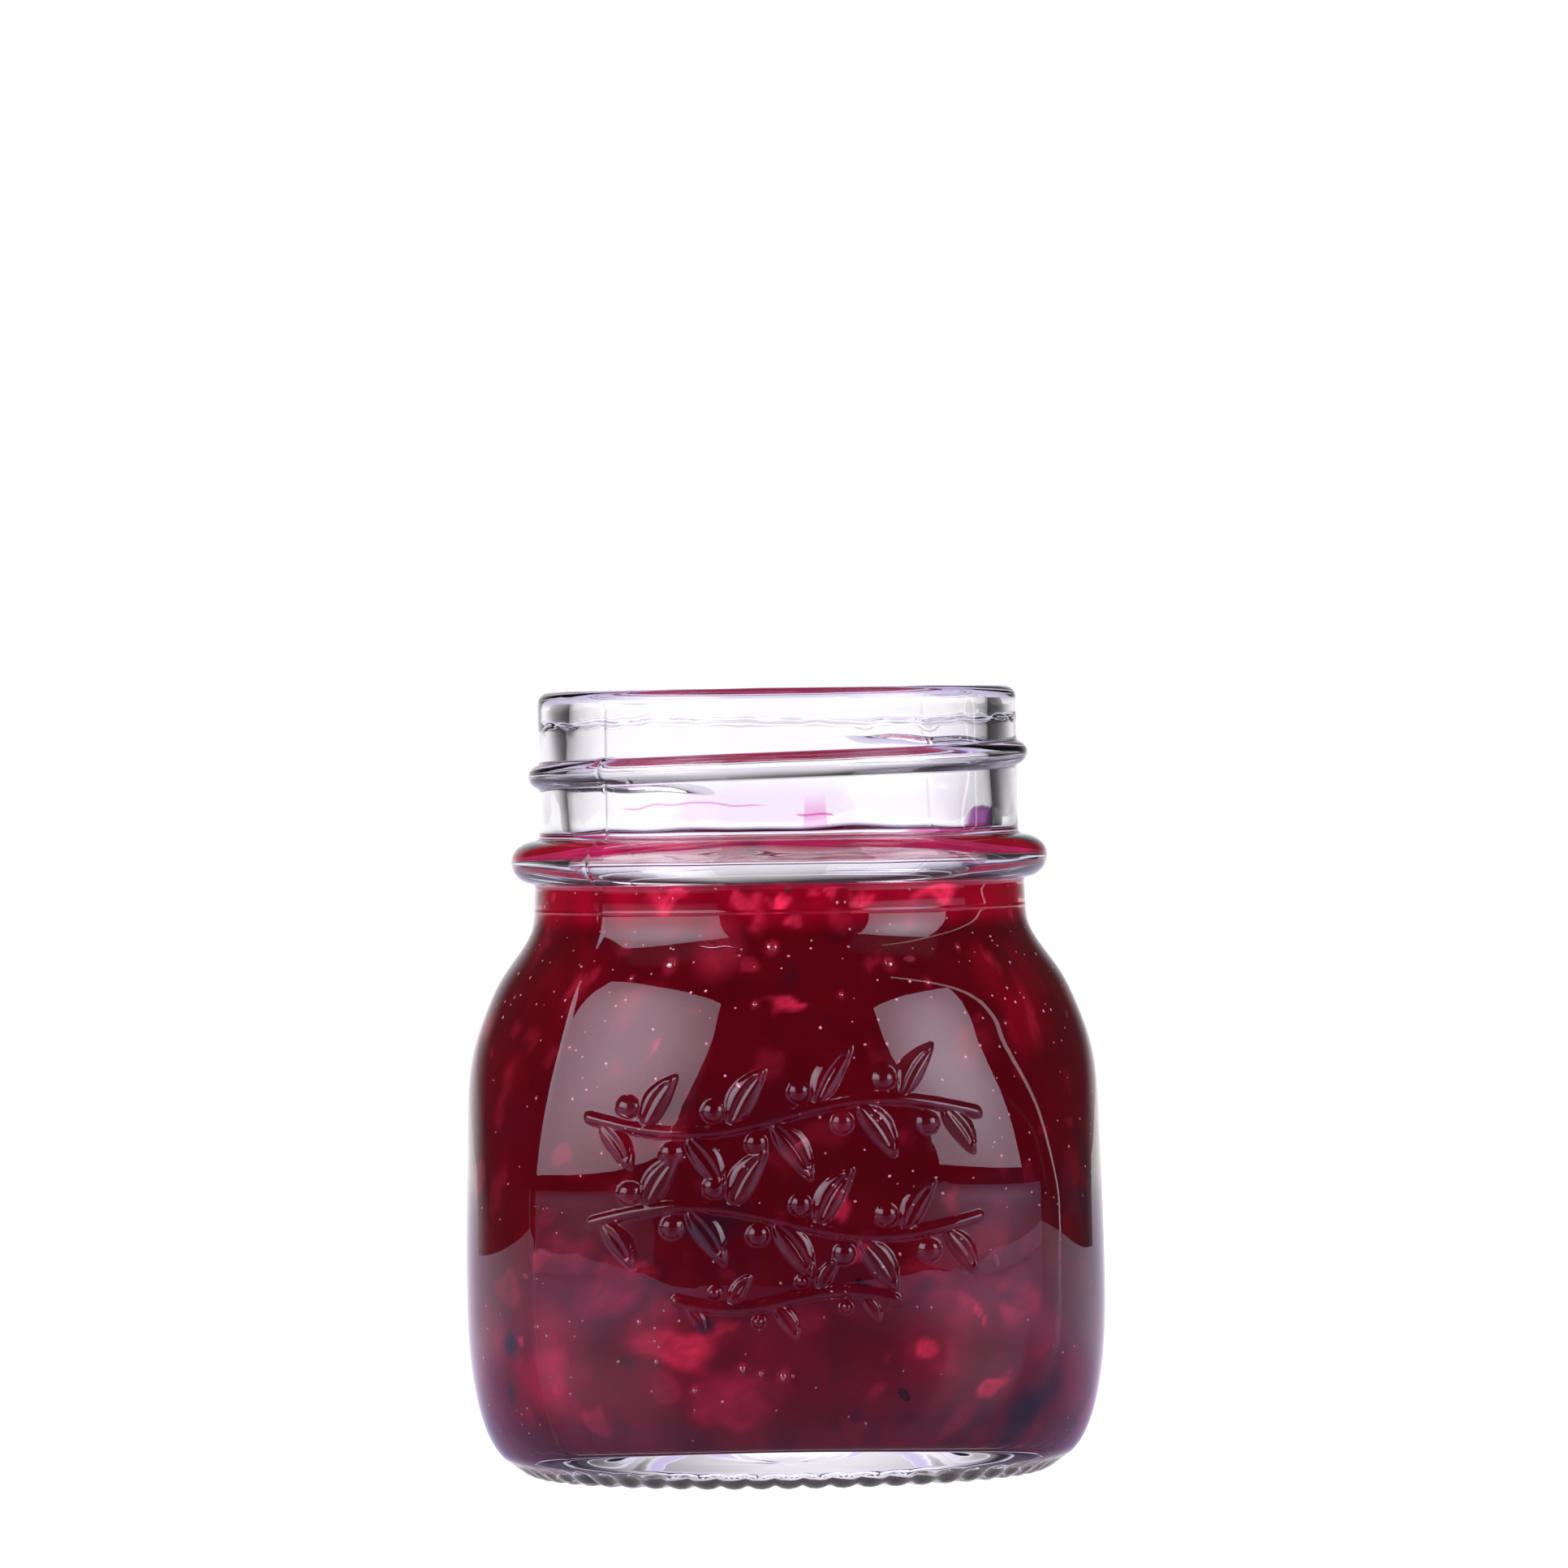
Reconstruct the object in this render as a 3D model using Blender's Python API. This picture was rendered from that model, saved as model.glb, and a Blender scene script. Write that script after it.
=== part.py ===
"""A screw-top preserving jar of clear glass, open, filled with mixed berry jam.

Metres, +Z up. The origin is on the ground under the middle of the jar, and the flat front faces -Y.
"""

import math

import bmesh
import bpy

MM = 0.001

# Driving dimensions
JAR_HEIGHT = 81.5 * MM
RIM_RADIUS = 25.0 * MM  # outside of the threaded finish
RIM_CORNER = 1.25 * MM  # rounding of the lip, outside and inside
BORE_RADIUS = 22.15 * MM  # inside of the finish
NECK_RADIUS = 25.6 * MM  # outside, under the bead
NECK_LOW, NECK_HIGH = 58.2 * MM, 60.9 * MM
BEAD_HEIGHT, BEAD_RADIUS = 63.8 * MM, 28.0 * MM  # middle and crest of the round bead
BEAD_HALF = 2.6 * MM  # half its height where it leaves the neck
JAM_LEVEL = 63.0 * MM
GAP = 0.3 * MM  # between jam and glass

# The screw thread: one ridge that rises to the right across the front and fades out at the back
THREAD_MIDDLE = 73.6 * MM  # height of its crest at the front
THREAD_PITCH = 3.8 * MM
THREAD_PROUD = 1.1 * MM
THREAD_HALF = 1.45 * MM
THREAD_HALF_TURN = math.radians(165)  # each way from the front
THREAD_FADE = math.radians(28)
THREAD_PROFILE = (-1.0, -0.66, -0.28, 0.28, 0.66, 1.0)  # rows, as shares of THREAD_HALF

# Heights and half widths across the flats, outside and inside, from the ground up
HEEL_AND_BODY = (
    (28.0, 0.75), (29.6, 1.75), (31.2, 4.2), (32.4, 8.2), (33.05, 13.2), (33.24, 19.0), (33.14, 28.0),
    (33.0, 36.0), (32.7, 41.6), (32.0, 45.1), (30.85, 48.3), (29.2, 51.7), (26.8, 55.1),
)  # fmt: skip
INSIDE = (
    (8.0, 7.8), (16.0, 6.85), (24.6, 4.95), (26.7, 5.0), (27.6, 5.9), (29.0, 7.5), (29.8, 11.2), (30.15, 16.0),
    (30.2, 24.0), (30.05, 34.0), (29.85, 38.5), (29.1, 42.6), (27.8, 46.2), (25.8, 49.6), (23.8, 52.5),
    (22.55, 55.4), (22.15, 59.0),
)  # fmt: skip
FLOOR_MIDDLE = 8.1 * MM

# How square the section is at each height: 2 is a circle, and a larger power has flatter sides
SQUARENESS = ((0.0, 2.2), (14.0, 2.57), (29.0, 2.57), (47.0, 2.0))

# The foot: a flat ring with short ribs on its outer edge, round a shallow hollow
RIBS = 60
RING_INNER, RING_OUTER = 23.8 * MM, 26.5 * MM
RIB_EDGE = 27.15 * MM
RIB_TOP, RIB_VALLEY = 0.08 * MM, 0.5 * MM
HOLLOW_EDGE = 22.3 * MM
HOLLOW_RISE, HOLLOW_MIDDLE = 0.8 * MM, 2.0 * MM

SEGMENTS = RIBS
FRONT = math.radians(270)


def between(pairs, x):
    """Reads a table of (x, value) pairs, with a smooth step between neighbours."""
    if x <= pairs[0][0]:
        return pairs[0][1]
    for (x0, y0), (x1, y1) in zip(pairs, pairs[1:]):
        if x <= x1:
            t = (x - x0) / (x1 - x0)
            return y0 + (y1 - y0) * t * t * (3 - 2 * t)
    return pairs[-1][1]


def smooth_outline(points, steps):
    """A Catmull-Rom curve through (radius, height) points in millimetres, as points in metres."""
    ends = [points[0], *points, points[-1]]
    curve = []
    for a, b, c, d in zip(ends, ends[1:], ends[2:], ends[3:]):
        for i in range(steps):
            t = i / steps
            curve.append(
                tuple(
                    0.5 * MM * (2 * q + (r - p) * t + (2 * p - 5 * q + 4 * r - s) * t**2 + (3 * q - p - 3 * r + s) * t**3)
                    for p, q, r, s in zip(a, b, c, d)
                )
            )
    return [*curve, tuple(v * MM for v in points[-1])]


def inset(outline, distance):
    """Moves an open outline towards its left side, looking along it."""
    moved = []
    for i, (radius, height) in enumerate(outline):
        r0, z0 = outline[max(i - 1, 0)]
        r1, z1 = outline[min(i + 1, len(outline) - 1)]
        length = math.hypot(r1 - r0, z1 - z0)
        moved.append((radius - distance * (z1 - z0) / length, height + distance * (r1 - r0) / length))
    return moved


def arc(centre, radii, start, end, steps):
    """Points on an ellipse in (radius, height), from start to end in degrees."""
    turns = [math.radians(start + (end - start) * i / steps) for i in range(steps + 1)]
    return [(centre[0] + radii[0] * math.cos(t), centre[1] + radii[1] * math.sin(t)) for t in turns]


def on_section(phi, radius, height):
    """A point at an azimuth on the rounded square of one height."""
    power = between(SQUARENESS, height / MM)
    stretch = (abs(math.cos(phi)) ** power + abs(math.sin(phi)) ** power) ** (-1 / power)
    return radius * stretch * math.cos(phi), radius * stretch * math.sin(phi), height


def add_ring(mesh, place, count=SEGMENTS):
    """A loop of vertices. place is one (radius, height), or a function of the azimuth that gives it."""
    loop = []
    for i in range(count):
        phi = 2 * math.pi * i / count
        radius, height = place(phi) if callable(place) else place
        loop.append(mesh.verts.new(on_section(phi, radius, height)))
    return loop


def bridge(mesh, first, second):
    """Faces between two loops with the same number of vertices, or one with twice the other's."""
    if len(first) == len(second):
        for i in range(len(first)):
            j = (i + 1) % len(first)
            mesh.faces.new((first[i], first[j], second[j], second[i]))
        return
    fine, coarse = (first, second) if len(first) > len(second) else (second, first)
    for i in range(len(coarse)):
        left, middle, right = (fine[(2 * i + k) % len(fine)] for k in range(3))
        following = coarse[(i + 1) % len(coarse)]
        mesh.faces.new((left, middle, coarse[i]))
        mesh.faces.new((middle, following, coarse[i]))
        mesh.faces.new((middle, right, following))


def fan(mesh, loop, height):
    """Closes a loop with triangles to a point on the axis."""
    tip = mesh.verts.new((0, 0, height))
    for i in range(len(loop)):
        mesh.faces.new((loop[i], loop[(i + 1) % len(loop)], tip))


def thread_height(phi):
    """Height of the crest at an azimuth. Where the ridge is absent, the rows run back down to its start."""
    turn = (phi - FRONT + math.pi) % (2 * math.pi) - math.pi
    rise = THREAD_PITCH / (2 * math.pi)
    if abs(turn) <= THREAD_HALF_TURN:
        return THREAD_MIDDLE + rise * turn
    past = (abs(turn) - THREAD_HALF_TURN) / (math.pi - THREAD_HALF_TURN)
    return THREAD_MIDDLE + rise * THREAD_HALF_TURN * (1 - past) * math.copysign(1, turn)


def thread_row(share):
    """One row of the ridge, as a function of the azimuth."""
    bulge = math.cos(share * math.pi / 2) ** 1.3

    def place(phi):
        turn = (phi - FRONT + math.pi) % (2 * math.pi) - math.pi
        fade = min(1.0, max(0.0, (THREAD_HALF_TURN - abs(turn)) / THREAD_FADE))
        proud = THREAD_PROUD * bulge * math.sin(fade * math.pi / 2)
        return RIM_RADIUS + proud, thread_height(phi) + share * THREAD_HALF

    return place


def rib_row(phi):
    """The scalloped outer edge of the foot."""
    return RIB_EDGE, RIB_TOP if round(phi * RIBS / math.pi) % 2 == 0 else RIB_VALLEY


def bead_rows():
    """The bead: half an ellipse standing on the neck, which is narrower above it than below."""
    rows = []
    for i in range(9):
        turn = math.radians(-84 + 21 * i)
        neck = NECK_RADIUS + (RIM_RADIUS - NECK_RADIUS) * (math.sin(turn) + 1) / 2
        rows.append((neck + (BEAD_RADIUS - neck) * math.cos(turn), BEAD_HEIGHT + BEAD_HALF * math.sin(turn)))
    return rows


def lip_rows():
    """Over the lip, from the outside of the finish to its bore."""
    middle = (RIM_RADIUS + BORE_RADIUS) / 2
    rounding = (RIM_CORNER, RIM_CORNER)
    outer = arc((RIM_RADIUS - RIM_CORNER, JAR_HEIGHT - RIM_CORNER), rounding, 0, 80, 3)
    inner = arc((BORE_RADIUS + RIM_CORNER, JAR_HEIGHT - RIM_CORNER), rounding, 100, 180, 3)
    return [*outer, (middle, JAR_HEIGHT), *inner]


def inside_rows(first_height):
    """The inside wall from the floor up, from the first row at or above a height."""
    return [row for row in smooth_outline(INSIDE, 1) if row[1] >= first_height]


def finish_object(name, mesh, colour, roughness, transmission, material_name):
    """Turns a bmesh into a smooth-shaded object with its own material."""
    bmesh.ops.recalc_face_normals(mesh, faces=mesh.faces[:])
    data = bpy.data.meshes.new(name)
    mesh.to_mesh(data)
    mesh.free()
    data.shade_smooth()
    data.set_sharp_from_angle(angle=math.radians(40))
    material = bpy.data.materials.new(material_name)
    material.use_nodes = True
    shader = material.node_tree.nodes["Principled BSDF"]
    shader.inputs["Base Color"].default_value = colour
    shader.inputs["Roughness"].default_value = roughness
    shader.inputs["Metallic"].default_value = 0.0
    shader.inputs["Transmission Weight"].default_value = transmission
    data.materials.append(material)
    made = bpy.data.objects.new(name, data)
    bpy.context.scene.collection.objects.link(made)
    return made


def make_jar():
    """The glass: one closed skin from the hollow under the foot, up the outside, over the lip and down the inside."""
    mesh = bmesh.new()
    foot = [
        add_ring(mesh, (HOLLOW_EDGE * 0.5, HOLLOW_MIDDLE * 0.9)),
        add_ring(mesh, (HOLLOW_EDGE, HOLLOW_RISE)),
        add_ring(mesh, (RING_INNER, 0)),
        add_ring(mesh, (RING_OUTER, 0), 2 * RIBS),
        add_ring(mesh, rib_row, 2 * RIBS),
    ]
    rows = [
        *smooth_outline(HEEL_AND_BODY, 2),
        (NECK_RADIUS, NECK_LOW),
        (NECK_RADIUS, NECK_HIGH),
        *bead_rows(),
        (RIM_RADIUS, BEAD_HEIGHT + BEAD_HALF + 0.6 * MM),
        *(thread_row(share) for share in THREAD_PROFILE),
        *lip_rows(),
        *reversed(inside_rows(0)),
    ]
    loops = foot + [add_ring(mesh, row) for row in rows]
    for first, second in zip(loops, loops[1:]):
        bridge(mesh, first, second)
    fan(mesh, loops[0], HOLLOW_MIDDLE)
    fan(mesh, loops[-1], FLOOR_MIDDLE)
    return finish_object("jar_glass", mesh, (0.95, 0.97, 0.97, 1), 0.02, 1.0, "clear glass")


def jam_top(phi, share):
    """The uneven top of the jam at a share of the way from the axis to the wall."""
    lumps = 0.22 * math.sin(3 * phi + 5 * share) + 0.16 * math.sin(5 * phi - 9 * share + 1)
    climb = 0.3 * share**8
    return JAM_LEVEL + MM * (lumps * share * (1 - share**6) - 0.25 * (1 - share**2) + climb)


def make_jam():
    """The jam: the inside of the jar less a thin gap, up to its level."""
    mesh = bmesh.new()
    outline = inset([*inside_rows(0), (BORE_RADIUS, JAM_LEVEL)], GAP)[:-1]
    wall = BORE_RADIUS - GAP
    loops = [add_ring(mesh, row) for row in outline]
    loops.append(add_ring(mesh, (wall, JAM_LEVEL - 1.2 * MM)))
    for share in (1.0, 0.88, 0.7, 0.5, 0.28):
        loops.append(add_ring(mesh, lambda phi: (wall * share, jam_top(phi, share))))
    for first, second in zip(loops, loops[1:]):
        bridge(mesh, first, second)
    fan(mesh, loops[0], FLOOR_MIDDLE + GAP)
    fan(mesh, loops[-1], jam_top(0, 0))
    return finish_object("jam", mesh, (0.11, 0.0, 0.012, 1), 0.25, 0.0, "berry jam")


def main():
    for old in list(bpy.context.scene.objects):
        bpy.data.objects.remove(old, do_unlink=True)
    make_jar()
    make_jam()


main()
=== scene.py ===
import math
import random

import bmesh
import bpy
import numpy as np
from mathutils import Matrix, Vector


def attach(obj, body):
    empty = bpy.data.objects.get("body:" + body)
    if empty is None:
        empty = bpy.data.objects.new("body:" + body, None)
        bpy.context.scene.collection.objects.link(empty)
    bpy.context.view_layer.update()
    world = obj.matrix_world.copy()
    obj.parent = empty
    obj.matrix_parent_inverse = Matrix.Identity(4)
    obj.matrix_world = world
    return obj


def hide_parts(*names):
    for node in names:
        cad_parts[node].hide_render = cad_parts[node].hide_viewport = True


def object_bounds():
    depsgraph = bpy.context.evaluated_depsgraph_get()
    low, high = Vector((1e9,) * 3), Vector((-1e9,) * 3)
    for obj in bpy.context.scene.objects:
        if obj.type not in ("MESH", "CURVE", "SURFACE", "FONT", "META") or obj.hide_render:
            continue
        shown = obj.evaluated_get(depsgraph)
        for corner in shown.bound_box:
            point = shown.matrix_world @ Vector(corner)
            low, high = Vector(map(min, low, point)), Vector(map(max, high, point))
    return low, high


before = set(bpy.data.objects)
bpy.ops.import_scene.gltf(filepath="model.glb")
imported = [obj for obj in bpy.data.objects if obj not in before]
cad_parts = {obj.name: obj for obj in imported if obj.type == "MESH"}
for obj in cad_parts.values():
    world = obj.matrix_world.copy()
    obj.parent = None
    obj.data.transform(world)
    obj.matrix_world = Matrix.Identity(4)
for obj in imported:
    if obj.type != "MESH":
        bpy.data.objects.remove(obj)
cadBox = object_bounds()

mm = 0.001
frontAzimuth = math.radians(270)  # the jar's front faces -Y
white = (1, 1, 1, 1)

# The glass, in millimetres. Half widths are across the flats, and heights are from the ground.
jar = {
    "height": (cadBox[1][2] - cadBox[0][2]) / mm,
    "rimRadius": 25.0,
    "boreRadius": 22.15,
    "lipRounding": 1.25,
    "neckRadius": 25.64,
    "beadHeight": 63.8,
    "beadRadius": 28.0,
    "beadHalf": 2.3,
    "heelAndBody": (
        (26.6, 0.0), (27.3, 0.25), (28.35, 0.95), (29.65, 1.9), (31.2, 4.2), (32.4, 8.2), (33.05, 13.2),
        (33.24, 19.0), (33.14, 28.0), (33.0, 36.0), (32.7, 41.6), (32.0, 45.1), (30.85, 48.3), (29.2, 51.7),
        (26.8, 55.1), (25.95, 56.8), (25.64, 59.0),
    ),
    "inside": (
        (0.0, 8.1), (8.0, 7.8), (16.0, 6.85), (24.6, 4.95), (26.7, 5.0), (27.6, 5.9), (29.0, 7.5),
        (29.8, 11.2), (30.15, 16.0), (30.2, 24.0), (30.05, 34.0), (29.85, 38.5), (29.1, 42.6), (27.8, 46.2),
        (25.8, 49.6), (23.8, 52.5), (22.55, 55.4), (22.15, 59.0),
    ),
    "roundAbove": 47.0,  # the section is round from here up
    "squareFrom": 14.0,
    "squareTo": 29.0,
    "squarePower": 2.57,  # 2 is a circle, and a larger power has flatter sides
    "footPower": 2.2,
    "ringInner": 23.8,
    "hollowEdge": 22.3,
    "hollowRise": 0.8,
    "hollowMiddle": 2.0,
    "ribs": 60,
    "ribDepth": 0.42,
    "seamAzimuth": math.radians(225),
    "seamProud": 0.07,
    "seamHalf": 0.16,
    "ringSeam": 58.7,  # height of the line round the neck, where the mould's parts met
    "ringSeamProud": 0.07,
    "ringSeamHalf": 0.13,
    "ripple": 78.1,  # height of an uneven line round the bore
    "outerWobble": 0.007,
    "innerWobble": 0.03,
}
# The screw thread: one ridge that rises to the right across the front and fades out at the back
thread = {
    "middle": 73.6,  # height of the crest at the front
    "pitch": 3.8,
    "proud": 1.1,
    "half": 1.3,
    "halfTurn": math.radians(165),
    "fade": math.radians(28),
    "seamKink": 0.15,
}


def smoothStep(x):
    x = np.clip(x, 0, 1)
    return x * x * (3 - 2 * x)


def smoothMax(a, b, rounding):
    return (a + b + np.sqrt((a - b) ** 2 + rounding**2)) / 2


def splineThrough(points, spacing=0.05):  # one curve with even curvature through (radius, height) points
    p = np.array(points, float)
    knots = np.concatenate([[0], np.cumsum(np.linalg.norm(np.diff(p, axis=0), axis=1))])
    step = np.diff(knots)
    system, right = np.eye(len(p)), np.zeros_like(p)
    for i in range(1, len(p) - 1):
        system[i, i - 1 : i + 2] = step[i - 1], 2 * (step[i - 1] + step[i]), step[i]
        right[i] = 6 * ((p[i + 1] - p[i]) / step[i] - (p[i] - p[i - 1]) / step[i - 1])
    bend = np.linalg.solve(system, right)
    u = np.linspace(0, knots[-1], int(knots[-1] / spacing))
    k = np.clip(np.searchsorted(knots, u, side="right") - 1, 0, len(step) - 1)
    a, b, h = (knots[k + 1] - u)[:, None], (u - knots[k])[:, None], step[k][:, None]
    return (
        bend[k] * a**3 / (6 * h)
        + bend[k + 1] * b**3 / (6 * h)
        + (p[k] / h - bend[k] * h / 6) * a
        + (p[k + 1] / h - bend[k + 1] * h / 6) * b
    )


def footOutline():
    rho = np.linspace(0, jar["hollowEdge"], 60)
    dome = jar["hollowMiddle"] - (jar["hollowMiddle"] - jar["hollowRise"]) * (rho / jar["hollowEdge"]) ** 2
    ramp = np.linspace(jar["hollowEdge"], jar["ringInner"], 40)[1:]
    fall = jar["hollowRise"] * (1 - smoothStep((ramp - ramp[0]) / (ramp[-1] - ramp[0])))
    return np.concatenate([np.stack([rho, dome], 1), np.stack([ramp, fall], 1)])


def neckOutline():  # the neck under the bead, the bead, and the neck above it
    z = np.linspace(59.0, 69.0, 260)[1:]
    neck = jar["neckRadius"] + (jar["rimRadius"] - jar["neckRadius"]) * smoothStep((z - 59) / 7.5)
    t = np.abs(z - jar["beadHeight"]) / jar["beadHalf"]
    bead = neck + (jar["beadRadius"] - neck) * np.sqrt(np.clip(1 - t**2, 0, 1)) - 5 * np.clip(t - 1, 0, 9)
    return np.stack([smoothMax(neck, bead, 0.45), z], 1)


def lipOutline():  # up the finish, over the lip and down the bore
    turn = np.linspace(0, math.pi / 2, 40)
    inward = jar["lipRounding"] * (np.cos(turn) - 1)
    z = jar["height"] + jar["lipRounding"] * (np.sin(turn) - 1)
    outer, inner = np.stack([jar["rimRadius"] + inward, z], 1), np.stack([jar["boreRadius"] - inward, z], 1)
    return np.concatenate([outer, inner[::-1]])


outer = np.concatenate([footOutline(), splineThrough(jar["heelAndBody"]), neckOutline(), lipOutline()])
inner = splineThrough(jar["inside"])[::-1]
outline = np.concatenate([outer, inner])
arcLength = np.concatenate([[0], np.cumsum(np.linalg.norm(np.diff(outline, axis=0), axis=1))])
topIndex = int(np.argmax(outline[:, 1]))
ringIndex = len(footOutline()) - 1  # where the bearing ring starts
arcRing = float(arcLength[ringIndex])


def arcAtHeight(z, inside=False):  # arc length along the outline at a height, outside or inside
    if not inside:
        return float(np.interp(z, outline[ringIndex:topIndex, 1], arcLength[ringIndex:topIndex]))
    lowest = topIndex + int(np.argmin(outline[topIndex:, 1]))  # the domed floor lies beyond this
    return float(np.interp(z, outline[lowest:topIndex:-1, 1], arcLength[lowest:topIndex:-1]))


def alongOutline(s):  # radius, height and the outward normal at arc lengths
    reach = 0.12  # on each side of a point, for its slope
    (r, z), (r1, z1), (r2, z2) = (
        [np.interp(at, arcLength, outline[:, i]) for i in (0, 1)]
        for at in (s, np.maximum(s - reach, 0), np.minimum(s + reach, arcLength[-1]))
    )
    length = np.maximum(np.hypot(r2 - r1, z2 - z1), 1e-9)
    return r, z, (z2 - z1) / length, -(r2 - r1) / length


def sectionStretch(phi, z):  # how far the rounded square reaches at an azimuth, against its flats
    rise = smoothStep(z / jar["squareFrom"])
    fall = smoothStep((z - jar["squareTo"]) / (jar["roundAbove"] - jar["squareTo"]))
    power = (jar["footPower"] + (jar["squarePower"] - jar["footPower"]) * rise) * (1 - fall) + 2 * fall
    return (np.abs(np.cos(phi)) ** power + np.abs(np.sin(phi)) ** power) ** (-1 / power)


def wobble(phi, z, seed, amplitude):  # slow unevenness of pressed glass, the same all the way round
    draw = random.Random(seed)
    total = 0
    for i in range(9):
        turns, climb, phase = draw.randint(2, 16), draw.uniform(-0.5, 0.5), draw.uniform(0, 6.28)
        total = total + np.sin(turns * phi + climb * z + phase)
    return total * amplitude / 2.1


def turnFrom(phi, azimuth):  # between half a turn back and half a turn on
    return (phi - azimuth + math.pi) % (2 * math.pi) - math.pi


def threadCrest(phi):  # height of the crest. Where there is no ridge, it runs back down to the start
    turn = turnFrom(phi, frontAzimuth)
    rise = thread["pitch"] / (2 * math.pi)
    past = (np.abs(turn) - thread["halfTurn"]) / (math.pi - thread["halfTurn"])
    back = thread["halfTurn"] * (1 - past) * np.sign(turn)
    return thread["middle"] + rise * np.where(np.abs(turn) <= thread["halfTurn"], turn, back)


def threadRidge(phi, z):
    turn = turnFrom(phi, frontAzimuth)
    fade = np.sin(np.clip((thread["halfTurn"] - np.abs(turn)) / thread["fade"], 0, 1) * math.pi / 2)
    kink = thread["seamKink"] * np.exp(-((turnFrom(phi, jar["seamAzimuth"]) / math.radians(1.6)) ** 2))
    t = np.clip(np.abs(z - threadCrest(phi) - kink) / thread["half"], 0, 1)
    return thread["proud"] * fade * (1 - t**2.1) ** 0.8


def footRibs(phi, s):
    start, end = arcRing - 0.5, arcAtHeight(1.9)
    window = smoothStep((s - start) / 0.6) * (1 - smoothStep((s - end + 1.6) / 1.6))
    return -jar["ribDepth"] * window * (1 - np.abs(np.cos(phi * jar["ribs"] / 2)) ** 0.85)


def seamLine(phi, r, z, s):  # the lines where the mould's parts met
    away = (phi - jar["seamAzimuth"] + math.pi / 2) % math.pi - math.pi / 2
    window = smoothStep((s - arcAtHeight(2.5)) / 3) * (s < arcAtHeight(jar["height"] - 1.5))
    upright = jar["seamProud"] * window * np.exp(-((away * r / jar["seamHalf"]) ** 2))
    ring = jar["ringSeamProud"] * np.exp(-(((z - jar["ringSeam"]) / jar["ringSeamHalf"]) ** 2))
    return np.maximum(upright, ring)


def boreRipple(phi, z):  # a ragged line where the glass chilled unevenly
    level = jar["ripple"] + 0.22 * np.sin(3 * phi + 1) + 0.1 * np.sin(17 * phi) + 0.07 * np.sin(41 * phi + 2)
    depth = 0.65 + 0.35 * np.sin(5 * phi) * np.sin(31 * phi + 1)
    return 0.15 * depth * np.exp(-(((z - level) / 0.19) ** 2))


# The ornament: boughs with slanted leaves and berries, raised on the front
ornament = {
    "boughs": (  # half width, height, sway, leaves, leaf length
        (19.5, 38.2, 1.6, 9, 7.2),
        (19.5, 27.6, -1.6, 9, 7.2),
        (11.0, 19.6, 0.8, 5, 4.2),
    ),
    "slant": math.radians(57),
    "leafWidth": 0.2,  # half a leaf's width, against its length
    "berryRadius": 1.15,
    "lineHalf": 0.62,
    "proud": 0.55,
}


def boughHeight(bough, u):
    halfWidth, height, sway = bough[:3]
    return height + sway * math.sin(u * math.pi / halfWidth)


def ornamentParts():  # leaves as (u, v, angle, length), and berries as (u, v, radius)
    leaves, berries = [], []
    for bough in ornament["boughs"]:
        halfWidth, _, _, count, length = bough
        pitch = 2 * halfWidth / count
        for i in range(count):
            u = -halfWidth + pitch * (i + 0.25)
            side = 1 if i % 2 else -1
            size = length * (1 - 0.22 * abs(2 * i / (count - 1) - 1) ** 2)
            leaves.append((u, boughHeight(bough, u) + 0.3 * side, side * ornament["slant"], size))
            if i < count - 1:
                at = u + 0.62 * pitch
                radius = ornament["berryRadius"] * length / 7.2
                berries.append((at, boughHeight(bough, at) - side * (radius + 0.9), radius))
    return leaves, berries


def ornamentHeight(u, v):  # rounded ridges and domes, as a height at points of the front panel
    leaves, berries = ornamentParts()
    proud = ornament["proud"]
    height, near = np.zeros_like(u), np.zeros(len(u), bool)
    for bough in ornament["boughs"]:
        halfWidth, level, sway = bough[:3]
        slope = sway * math.pi / halfWidth * np.cos(u * math.pi / halfWidth)
        away = np.abs(v - level - sway * np.sin(u * math.pi / halfWidth)) / np.hypot(1, slope)
        away = np.hypot(away, np.clip(np.abs(u) - halfWidth, 0, None))
        height = np.maximum(height, proud * np.clip(1 - (away / ornament["lineHalf"]) ** 2, 0, 1) ** 0.8)
        near |= away < ornament["lineHalf"] + 0.8
    for x, y, angle, length in leaves:
        along = (u - x) * math.cos(angle) + (v - y) * math.sin(angle)
        across = (v - y) * math.cos(angle) - (u - x) * math.sin(angle)
        t = along / length
        inside = np.clip(t, 0.001, 0.999)
        across = across - 0.07 * length * np.sin(math.pi * inside)
        half = length * ornament["leafWidth"] * np.sin(math.pi * inside**0.8) ** 0.85
        w = np.abs(across) / half
        dome = np.clip(1 - w**2, 0, 1) ** 0.7 * (1 - 0.45 * np.exp(-((across / 0.3) ** 2)) * (inside < 0.8))
        height = np.maximum(height, 1.15 * proud * dome * ((t > 0) & (t < 1)) * smoothStep(half / 0.5))
        near |= (np.abs(across) < half + 0.8) & (along > -0.6) & (along < length + 0.6)
    for x, y, radius in berries:
        away = np.hypot(u - x, v - y)
        height = np.maximum(height, 1.5 * proud * np.clip(1 - (away / radius) ** 2, 0, 1) ** 0.6)
        near |= away < radius + 0.8
    return height, near


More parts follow.
